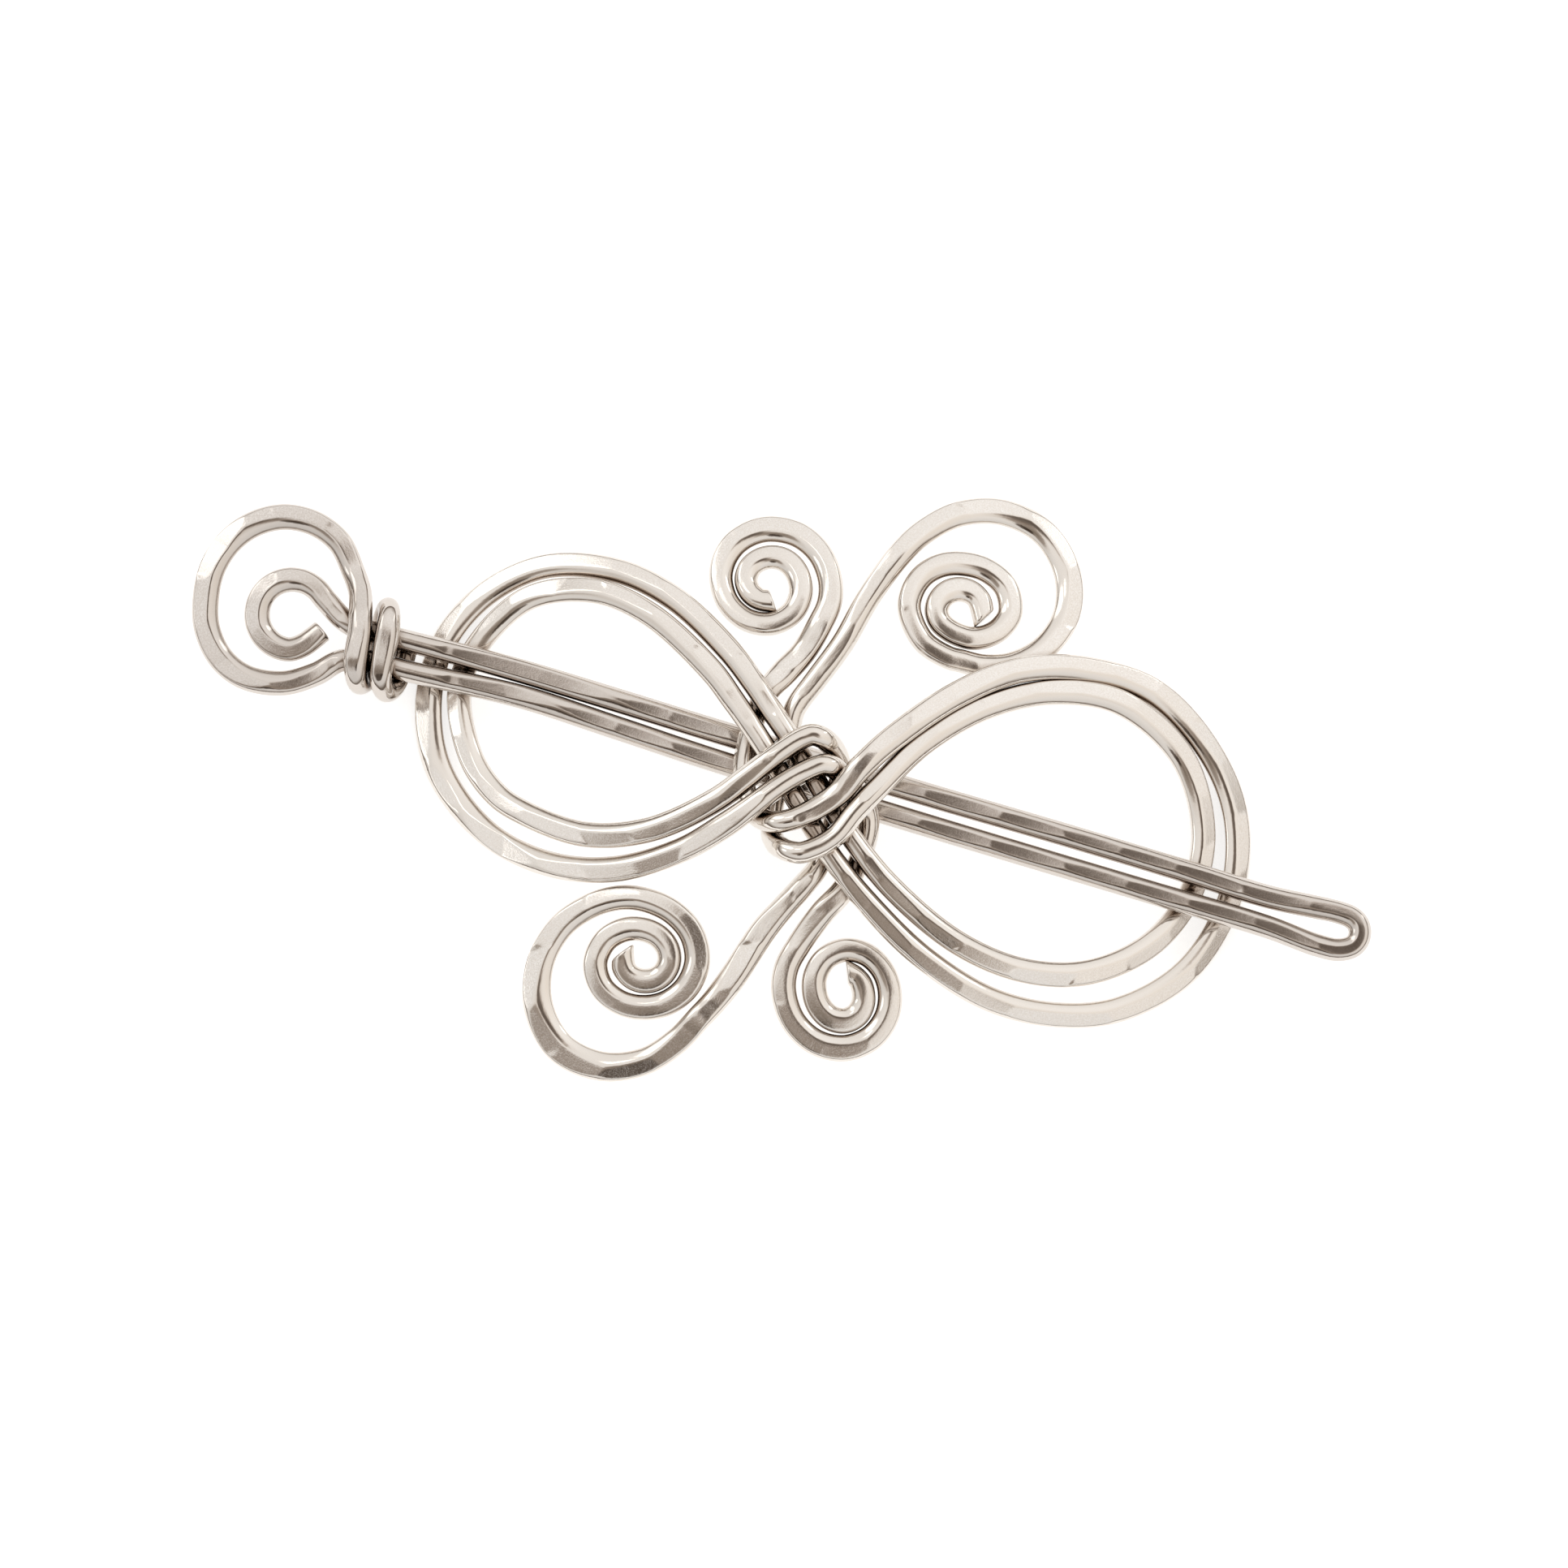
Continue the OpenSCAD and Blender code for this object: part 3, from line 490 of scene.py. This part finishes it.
def carried_frames(line):
    """Direction, right and up at each ring. The face is carried along and drawn to its wanted side."""
    along = unit(np.gradient(line[:, :3], axis=0))
    turns = np.degrees(np.arccos(np.clip((along[1:] * along[:-1]).sum(axis=1), -1, 1)))
    turns = np.append(turns, turns[-1])
    ups = []
    up = None
    for t, row, turned in zip(along, line, turns):
        face = np.array([row[4], row[5], 1.0])
        wanted = face - (face @ t) * t
        if up is None:
            up = unit(wanted)
        carried = unit(up - (up @ t) * t)
        parts = max(RING_STEP / CAD_RING_STEP, turned / CAD_RING_TURN)
        pull = (1 + ROUND_PULL + HAMMERED_PULL * max(0, row[3])) ** parts - 1
        up = unit(carried + pull * (-wanted if wanted @ carried < 0 else wanted))
        ups.append(up)
    up = np.array(ups)
    return along, np.cross(along, up), up


def running_mean(values, reach):
    """Mean of each value and of so many values on each side of it."""
    width = 2 * reach + 1
    return np.convolve(np.pad(values, reach, "edge"), np.ones(width) / width, "valid")


def smoothed(values):
    """Values along the wire, evened out twice over a few millimetres."""
    reach = round(EVEN_REACH / RING_STEP)
    return running_mean(running_mean(values, reach), reach)


def chosen_facets(rows, at, line, along, right):
    """Facets given as rows of x, y and lean: place, slope along and slope across of each."""
    facets = []
    for x, y, lean_x, lean_y in rows:
        i = np.argmin(np.hypot(line[:, 0] - x, line[:, 1] - y))
        lean = np.array([lean_x, lean_y, 0])
        facets.append((at[i], -lean @ along[i], -lean @ right[i]))
    return facets


def all_facets(chosen, length, seed, spacing, tilt_along, tilt_across):
    """Chosen facets in their order, and random ones wherever there is room between them."""
    rng = random.Random(seed)
    facets = []
    before = 0
    for facet in sorted(chosen) + [(length, 0, 0)]:
        room = facet[0] - before
        count = max(0, round(room / spacing) - 1)
        for k in range(count):
            place = before + room * (k + 1 + rng.uniform(-PLACE_SHIFT, PLACE_SHIFT)) / (count + 1)
            tilts = rng.uniform(-tilt_along, tilt_along), rng.uniform(-tilt_across, tilt_across)
            facets.append((place, *tilts))
        facets.append(facet)
        before = facet[0]
    return facets


def facet_planes(facets, at):
    """Facets joined end to end as start, end, height, slopes and lean of the border, and their trend."""
    planes = []
    height = 0
    for i, (place, slope_along, slope_across) in enumerate(facets):
        start = (facets[i - 1][0] + place) / 2 if i else at[0]
        end = (place + facets[i + 1][0]) / 2 if i + 1 < len(facets) else at[-1]
        lean = 0
        if planes:
            change_along = slope_along - planes[-1][3]
            change_across = slope_across - planes[-1][4]
            lean = -BORDER_LEAN * math.tanh(change_across * change_along / LEAN_SCALE)
        planes.append((start, end, height, slope_along, slope_across, lean))
        height += slope_along * (end - start)
    middle = np.interp(at, [p[0] for p in planes] + [at[-1]], [p[2] for p in planes] + [height])
    return planes, running_mean(middle, round(TREND_REACH / RING_STEP))


def hammered_height(planes, trend, at, across, wedge):
    """Height of the hammered surface over its mean: slightly dished facets with oblique borders."""
    result = np.zeros(across.shape)
    for start, end, height, slope_along, slope_across, lean in planes:
        near = (at > start - BORDER_REACH) & (at < end + BORDER_REACH)
        run = at[near][:, None]
        column = across[near]
        dish = ((run - start) * (run - end)) / (2 * DISH_RADIUS)
        plane = height + slope_along * (run - start) + slope_across * column + dish
        share = np.clip((run - start - lean * column) / BORDER + 0.5, 0, 1)
        share = share * share * (3 - 2 * share)
        result[near] += (plane - result[near]) * share
    return result - trend[:, None] + wedge[:, None] * across


def soft_minimum(a, b, softness):
    """Smaller of two heights, with the edge between them worn round."""
    share = np.clip(0.5 + 0.5 * (b - a) / softness, 0, 1)
    return b + (a - b) * share - softness * share * (1 - share)


class Section:
    """Outline of the wire at every ring: an oval whose top and bottom are hammered flat."""

    def __init__(self, at, hammering, edge_wear, bending, top_facets, bottom_facets):
        self.at = at
        # A bend is hammered thinner on its outer side, and its crown lies there too
        shift = bending * np.minimum(1, hammering / FULL_SHIFT)
        self.wedge = WEDGE * shift
        self.skew = (SKEW * shift)[:, None]
        self.edge_wear = edge_wear[:, None]
        self.planes = {1: facet_planes(top_facets, at), -1: facet_planes(bottom_facets, at)}
        flatness = np.minimum(hammering, 1)
        width = WIRE_D + (HAMMERED_W - WIRE_D) * hammering
        thickness = WIRE_D ** 2 / width * (1 - FLAT_LOSS * flatness)
        flat_share = LIGHT_FLAT + (FULL_FLAT - LIGHT_FLAT) * flatness
        roundness = np.clip(1 - hammering / LIGHT_HAMMERING, 0, 1)
        self.half_width = width / 2
        self.half_height = thickness / 2 / np.sqrt(1 - (flat_share * (1 - roundness)) ** 2)
        self.level = thickness / 2 + ROUND_CLEARANCE * roundness

    def heights(self, side, part):
        """Height over the middle, and how flat it is there, at shares of half the width."""
        column = self.half_width[:, None] * part
        skewed = part + self.skew * (1 - part ** 2)
        oval = self.half_height[:, None] * np.sqrt(np.maximum(0, 1 - skewed ** 2))
        cut = self.level[:, None] + hammered_height(*self.planes[side], self.at, column, self.wedge)
        return soft_minimum(oval, cut, self.edge_wear), np.clip((oval - cut) / FLAT_DEPTH, 0, 1)

    def reach(self, side):
        """Where the flat begins and ends, as shares of half the width."""
        part = np.tile(np.linspace(-TRIAL_REACH, TRIAL_REACH, TRIAL_COLUMNS), (len(self.at), 1))
        inside = self.heights(side, part)[1] > 0
        first = np.argmax(inside, axis=1)
        final = TRIAL_COLUMNS - 1 - np.argmax(inside[:, ::-1], axis=1)
        rows = np.arange(len(self.at))
        has_flat = inside.any(axis=1)
        left = running_mean(np.where(has_flat, part[rows, first], 0), EDGE_RINGS)
        right = running_mean(np.where(has_flat, part[rows, final], 0), EDGE_RINGS)
        return np.minimum(left, -LEAST_FLAT), np.maximum(right, LEAST_FLAT)

    def outline(self):
        """Points round every ring: how far across, how far up, and a share that is 1 on a flat."""
        columns = []
        top, bottom = self.reach(1), self.reach(-1)
        left_side = np.full(len(self.at), math.pi)
        right_side = np.zeros(len(self.at))

        def add(side, part):
            height, flat = self.heights(side, part[:, None])
            columns.append((part * self.half_width, side * height[:, 0], flat[:, 0]))

        def flat_columns(side, start, end):
            for share in FLAT_SHARES:
                add(side, start + (end - start) * share)

        def wall_columns(start, end):
            for share in WALL_SHARES:
                turn = start + (end - start) * share
                over_middle = np.median(np.sin(turn)) > 0
                add(1 if over_middle else -1, np.cos(turn))

        flat_columns(1, top[1], top[0])
        wall_columns(np.arccos(top[0]), left_side)
        wall_columns(left_side, 2 * math.pi - np.arccos(bottom[0]))
        flat_columns(-1, bottom[0], bottom[1])
        wall_columns(-np.arccos(bottom[1]), right_side)
        wall_columns(right_side, np.arccos(top[1]))
        return [np.stack([column[k] for column in columns], axis=1) for k in range(3)]


def cut_obliquely(rings, along, across, bending, cuts):
    """Stretch the rings at both ends, so that each end is cut aslant across its bend."""
    for (longer, inner), end in zip(cuts, (0, -1)):
        out = -along[0] if end == 0 else along[-1]
        inside = np.sign(bending[2 * CUT_RINGS if end == 0 else -2 * CUT_RINGS])
        for step in range(CUT_RINGS):
            i = step if end == 0 else -1 - step
            share = (1 - step / CUT_RINGS) ** CUT_FADE
            rings[i] += share * (longer + inner * inside * across[i])[:, None] * out


def wire_mesh(name, rings, along, flat, place):
    """Mesh object in metres from rings of points in millimetres, closed by worn end faces."""
    count, sides = rings.shape[:2]
    verts = [rings.reshape(-1, 3)]
    for ring, out in ((rings[0], -along[0]), (rings[-1], along[-1])):
        middle = ring.mean(axis=0)
        verts.append(ring - END_WEAR * unit(ring - middle) + END_WEAR * out)
        verts.append((middle + END_WEAR * out)[None])
    verts = np.concatenate(verts)
    grid = np.arange(count * sides).reshape(count, sides)
    side_faces = np.stack(
        [grid[:-1], grid[1:], np.roll(grid[1:], -1, axis=1), np.roll(grid[:-1], -1, axis=1)], axis=-1
    )
    faces = side_faces.reshape(-1, 4).tolist()
    base = count * sides
    for row, start, first in ((grid[0], base, True), (grid[-1], base + sides + 1, False)):
        for j in range(sides):
            k = (j + 1) % sides
            rim = [row[j], row[k], start + k, start + j]
            cap = [start + j, start + k, start + sides]
            faces.append(rim if first else rim[::-1])
            faces.append(cap if first else cap[::-1])
    mesh = bpy.data.meshes.new(name)
    mesh.from_pydata((verts * MM).tolist(), [], faces)
    mesh.polygons.foreach_set("use_smooth", [True] * len(mesh.polygons))
    extra = len(verts) - count * sides
    flats = np.concatenate([flat.reshape(-1), np.zeros(extra)]).astype(np.float32)
    places = np.concatenate([place.reshape(-1, 3), np.zeros((extra, 3))]).astype(np.float32)
    mesh.attributes.new("flat", "FLOAT", "POINT").data.foreach_set("value", flats)
    mesh.attributes.new("wire_place", "FLOAT_VECTOR", "POINT").data.foreach_set("vector", places.ravel())
    mesh.update()
    obj = bpy.data.objects.new(name, mesh)
    bpy.context.scene.collection.objects.link(obj)
    return obj


def wire(name, node, body, points, chosen, randoms, cuts, material):
    """One bent and hammered wire, standing for its CAD node."""
    at, line = smooth_line(points)
    along, right, up = carried_frames(line)
    seed, *spread = randoms
    top_facets = all_facets(chosen_facets(chosen, at, line, along, right), at[-1], seed, *spread)
    bottom_facets = all_facets([], at[-1], seed + BOTTOM_SEED, *spread)
    bend = (np.gradient(along, at, axis=0) * right).sum(axis=1)
    bending = smoothed(np.tanh(bend / BEND_SCALE))
    hammering = np.maximum(0, line[:, 3])
    section = Section(at, hammering, smoothed(line[:, 6]), bending, top_facets, bottom_facets)
    across, height, flat = section.outline()
    rings = line[:, None, :3] + across[:, :, None] * right[:, None] + height[:, :, None] * up[:, None]
    cut_obliquely(rings, along, across, bending, cuts)
    rings[:, :, 2] -= DROP
    place = np.stack([np.repeat(at[:, None], across.shape[1], axis=1), across, height], axis=-1)
    marked = flat * np.minimum(1, LIGHT_MARKS + hammering)[:, None]
    obj = wire_mesh(name, rings, along, marked, place)
    obj.data.materials.append(material)
    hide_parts(node)
    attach(obj, body)


def shader_tree(name):
    """New material, its node tree and its principled shader."""
    material = bpy.data.materials.new(name)
    material.use_nodes = True
    tree = material.node_tree
    return material, tree, tree.nodes["Principled BSDF"]


def attribute(tree, name, output):
    """Socket of a value that the mesh carries."""
    node = tree.nodes.new("ShaderNodeAttribute")
    node.attribute_name = name
    return node.outputs[output]


def math_node(tree, operation, a, b):
    """Sum, product or greater of two values, each a number or a socket."""
    node = tree.nodes.new("ShaderNodeMath")
    node.operation = operation
    for socket, value in zip(node.inputs, (a, b)):
        if isinstance(value, (int, float)):
            socket.default_value = value
        else:
            tree.links.new(value, socket)
    return node.outputs[0]


def noise(tree, place, scale, stretch, detail):
    """Noise over the wire's own measure in millimetres: along, across and up."""
    mapping = tree.nodes.new("ShaderNodeMapping")
    mapping.inputs["Scale"].default_value = stretch
    texture = tree.nodes.new("ShaderNodeTexNoise")
    texture.inputs["Scale"].default_value = scale
    texture.inputs["Detail"].default_value = detail
    tree.links.new(place, mapping.inputs["Vector"])
    tree.links.new(mapping.outputs["Vector"], texture.inputs["Vector"])
    return texture.outputs["Fac"]


def marks(tree, place, scale, stretch, detail, low, high):
    """Share of a mark by place: 0 where the noise is below low, 1 where it is above high."""
    span = tree.nodes.new("ShaderNodeMapRange")
    span.inputs["From Min"].default_value = low
    span.inputs["From Max"].default_value = high
    tree.links.new(noise(tree, place, scale, stretch, detail), span.inputs["Value"])
    return span.outputs["Result"]


def colour_ramp(tree, factor, stops, interpolation="EASE"):
    """Colour ramp driven by a factor, from rows of position and colour in their order."""
    node = tree.nodes.new("ShaderNodeValToRGB")
    ramp = node.color_ramp
    ramp.interpolation = interpolation
    for end, (position, colour) in zip(ramp.elements, (stops[0], stops[-1])):
        end.position = position
        end.color = (*colour, 1)
    for position, colour in stops[1:-1]:
        ramp.elements.new(position).color = (*colour, 1)
    tree.links.new(factor, node.inputs["Fac"])
    return node.outputs["Color"]


def blended(tree, a, b, way="MULTIPLY"):
    """Product or sum of two colours."""
    mix = tree.nodes.new("ShaderNodeMix")
    mix.data_type = "RGBA"
    mix.blend_type = way
    mix.inputs["Factor"].default_value = 1
    tree.links.new(a, mix.inputs["A"])
    tree.links.new(b, mix.inputs["B"])
    return mix.outputs["Result"]


def hammer_marks(tree, place, flat, worn):
    """Share of specks, and of scratches in broad patches of wear, on the hammered flats alone."""
    scratches = math_node(tree, "MULTIPLY", marks(tree, place, *SCRATCHES), marks(tree, place, *WEAR))
    specks = math_node(tree, "MULTIPLY", marks(tree, place, *SPECKS), SPECK_SHARE)
    strongest = math_node(tree, "MAXIMUM", scratches, specks)
    return math_node(tree, "MULTIPLY", math_node(tree, "MULTIPLY", strongest, worn), flat)


def wire_metal(name, tint, roughness, worn):
    """Bright aluminium wire, with specks and fine scratches on its hammered flats, and shade painted into
    its gaps.
    """
    material, tree, shader = shader_tree(name)
    shader.inputs["Metallic"].default_value = 1
    place = attribute(tree, "wire_place", "Vector")
    flat = attribute(tree, "flat", "Fac")
    marked = hammer_marks(tree, place, flat, worn)
    rough = math_node(tree, "MULTIPLY", marked, MARK_ROUGHNESS)
    rough = math_node(tree, "ADD", rough, math_node(tree, "MULTIPLY", flat, FLAT_ROUGHNESS))
    rough = math_node(tree, "ADD", rough, roughness)
    tree.links.new(rough, shader.inputs["Roughness"])
    # Painted shade: the base colour turns dark brown where ambient occlusion finds other strands close by
    openness = tree.nodes.new("ShaderNodeAmbientOcclusion")
    openness.samples = GAP_SHADE_SAMPLES
    openness.inputs["Distance"].default_value = GAP_SHADE_REACH * MM
    painted_gap_shade = colour_ramp(tree, openness.outputs["AO"], GAP_SHADE_COLOURS, "LINEAR")
    base = tree.nodes.new("ShaderNodeMix")
    base.data_type = "RGBA"
    base.inputs["A"].default_value = (*tint, 1)
    base.inputs["B"].default_value = (*MARK_COLOUR, 1)
    tree.links.new(marked, base.inputs["Factor"])
    tree.links.new(blended(tree, base.outputs["Result"], painted_gap_shade), shader.inputs["Base Color"])
    relief = tree.nodes.new("ShaderNodeBump")
    relief.inputs["Strength"].default_value = RELIEF_STRENGTH
    relief.inputs["Distance"].default_value = RELIEF_DEPTH * MM
    tree.links.new(math_node(tree, "ADD", noise(tree, place, *GRAIN), marked), relief.inputs["Height"])
    tree.links.new(relief.outputs["Normal"], shader.inputs["Normal"])
    return material


def pale_floor():
    """Plain floor that glows a little, so that it stays white under the soft light."""
    material, _, shader = shader_tree("pale_floor")
    shader.inputs["Base Color"].default_value = (*FLOOR_COLOUR, 1)
    shader.inputs["Roughness"].default_value = 1
    shader.inputs["Specular IOR Level"].default_value = 0
    shader.inputs["Emission Color"].default_value = (*FLOOR_GLOW, 1)
    shader.inputs["Emission Strength"].default_value = FLOOR_GLOW_STRENGTH
    bpy.ops.mesh.primitive_plane_add(size=FLOOR_SIZE)
    floor = bpy.context.object
    floor.name = "floor"
    floor.data.materials.append(material)


def room_patch(tree, direction, centre, reach, stops):
    """Oval patch of the room: its middle and reach as a direction's x and y, and colours outwards."""
    place = tree.nodes.new("ShaderNodeMapping")
    place.inputs["Scale"].default_value = (1 / reach[0], 1 / reach[1], 0)
    place.inputs["Location"].default_value = (-centre[0] / reach[0], -centre[1] / reach[1], 0)
    away = tree.nodes.new("ShaderNodeVectorMath")
    away.operation = "LENGTH"
    tree.links.new(direction, place.inputs["Vector"])
    tree.links.new(place.outputs["Vector"], away.inputs[0])
    return colour_ramp(tree, away.outputs["Value"], stops)


def studio_light():
    """Soft bright room with a dark ceiling overhead and a dark rim along the horizon."""
    world = bpy.data.worlds.new("studio")
    bpy.context.scene.world = world
    world.use_nodes = True
    tree = world.node_tree
    background = tree.nodes["Background"]
    direction = tree.nodes.new("ShaderNodeTexCoord").outputs["Generated"]
    split = tree.nodes.new("ShaderNodeSeparateXYZ")
    tree.links.new(direction, split.inputs[0])
    light = colour_ramp(tree, split.outputs["Z"], ROOM_HEIGHTS)
    for centre, reach, stops in ROOM_PATCHES:
        light = blended(tree, light, room_patch(tree, direction, centre, reach, stops))
    for centre, reach in LAMPS:
        light = blended(tree, light, room_patch(tree, direction, centre, reach, LAMP_COLOURS), "ADD")
    tree.links.new(light, background.inputs["Color"])
    background.inputs["Strength"].default_value = ROOM_STRENGTH


def camera():
    """Long lens, from nearly straight above, as in the photograph."""
    data = bpy.data.cameras.new("camera")
    data.lens = LENS
    data.sensor_width = SENSOR
    data.shift_x = SHIFT_X
    data.shift_y = SHIFT_Y
    obj = bpy.data.objects.new("camera", data)
    obj.location = CAMERA_PLACE
    obj.rotation_euler = (math.radians(CAMERA_TILT), 0, 0)
    bpy.context.scene.collection.objects.link(obj)
    bpy.context.scene.camera = obj


# The three wires from end to end
way_a = (
    scroll_points(SCROLL_BL_CENTRE, SCROLL_BL_SLOPE, SCROLL_BL)
    + arched(STEM_BL)
    + arched(OUTER_TURN_A)
    + arched(LEFT_INNER)
    + arched(DIAGONAL_A)
    + arched(RIGHT_OUTER)
    + arched(INNER_TURN_A)
    + arched(STEM_TL)
    + scroll_points(SCROLL_TL_CENTRE, SCROLL_TL_SLOPE, SCROLL_TL)[::-1]
)
way_b = (
    scroll_points(SCROLL_TR_CENTRE, SCROLL_TR_SLOPE, SCROLL_TR)
    + arched(STEM_TR)
    + arched(OUTER_TURN_B)
    + arched(RIGHT_INNER)
    + arched(DIAGONAL_B)
    + arched(LEFT_OUTER)
    + arched(INNER_TURN_B)
    + arched(STEM_BR)
    + scroll_points(SCROLL_BR_CENTRE, SCROLL_BR_SLOPE, SCROLL_BR)[::-1]
)
way_stick = (
    scroll_points(CURL_CENTRE, [0, 0], CURL, crisp=True)
    + level(SHANKS)
    + scroll_points(RING_CENTRE, [0, 0], RING, crisp=True)
    + level(COIL)
)

frame_metal = wire_metal("frame_metal", *FRAME_FINISH)
stick_metal = wire_metal("stick_metal", *STICK_FINISH)

wire("wire_a", "frame_wire_a", "frame", way_a, FACETS_A, RANDOM_A, CUTS_A, frame_metal)
wire("wire_b", "frame_wire_b", "frame", way_b, FACETS_B, RANDOM_B, CUTS_B, frame_metal)
wire(
    "wire_stick", "stick_wire", "stick", way_stick, FACETS_STICK, RANDOM_STICK, CUTS_STICK,
    stick_metal,
)

pale_floor()
studio_light()
camera()
bpy.context.scene.view_settings.view_transform = "Standard"
